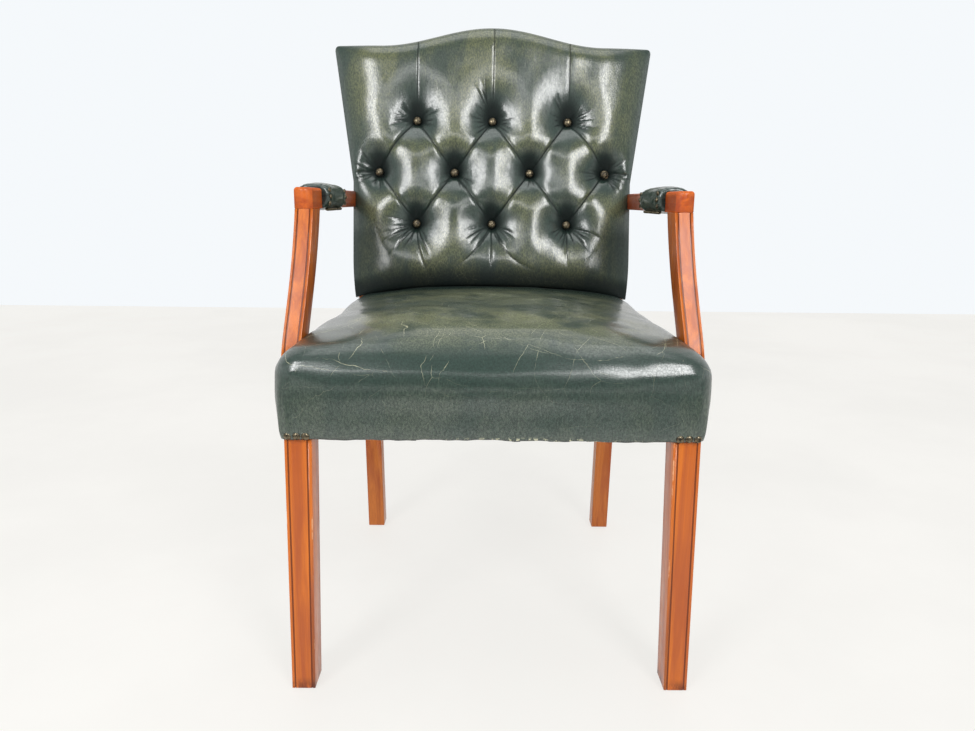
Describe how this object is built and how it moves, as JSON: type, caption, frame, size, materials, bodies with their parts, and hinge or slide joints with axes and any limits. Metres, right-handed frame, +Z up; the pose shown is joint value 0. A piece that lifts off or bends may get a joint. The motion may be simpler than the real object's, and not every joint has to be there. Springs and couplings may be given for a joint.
{
  "type": "upholstered armchair",
  "caption": "Open-arm upholstered chair with a deep-buttoned camel-top back, padded seat and arms, and square wooden legs.",
  "frame": {"origin": "on the floor, under the middle of the chair's box", "axes": "+Z up, +X to the right as one faces the chair, +Y to the back, so the seat's front edge faces -Y"},
  "size_m": [0.6112, 0.6412, 1.0129],
  "materials": {
    "frame_wood": "satin",
    "inner_wood": "sawn",
    "leather": "gloss, antiqued",
    "bronze": "antiqued",
    "foam": "open cell",
    "jute": "woven",
    "black_cloth": "non-woven",
    "steel": "zinc"
  },
  "bodies": {
    "root": {"front_leg_left": "frame_wood", "front_leg_right": "frame_wood", "back_post_left": "frame_wood", "back_post_right": "frame_wood", "arm_post_left": "frame_wood", "arm_post_right": "frame_wood", "arm_rail_left": "frame_wood", "arm_rail_right": "frame_wood", "front_rail": "inner_wood", "rear_rail": "inner_wood", "side_rail_left": "inner_wood", "side_rail_right": "inner_wood", "corner_blocks": "inner_wood", "rail_dowels": "inner_wood", "crest_rail": "inner_wood", "lower_back_rail": "inner_wood", "back_rail_dowels": "inner_wood", "twine_toggles": "inner_wood", "arm_dowels": "inner_wood", "back_cover": "leather", "outside_back": "leather", "arm_pad_left": "leather", "arm_pad_right": "leather", "seat_cover": "leather", "back_buttons": "bronze", "outside_back_studs": "bronze", "arm_pad_studs_left": "bronze", "arm_pad_studs_right": "bronze", "seat_studs_left": "bronze", "seat_studs_right": "bronze", "back_foam": "foam", "arm_pad_core_left": "foam", "arm_pad_core_right": "foam", "seat_foam": "foam", "back_webbing": "jute", "back_hessian": "jute", "button_twines": "jute", "seat_webbing_lengthwise": "jute", "seat_webbing_crosswise": "jute", "seat_hessian": "jute", "dust_cover": "black_cloth", "corner_block_screws": "steel", "leg_glides": "steel", "arm_post_screws": "steel", "arm_back_screws": "steel", "dust_cover_staples": "steel"}
  },
  "joints": []
}
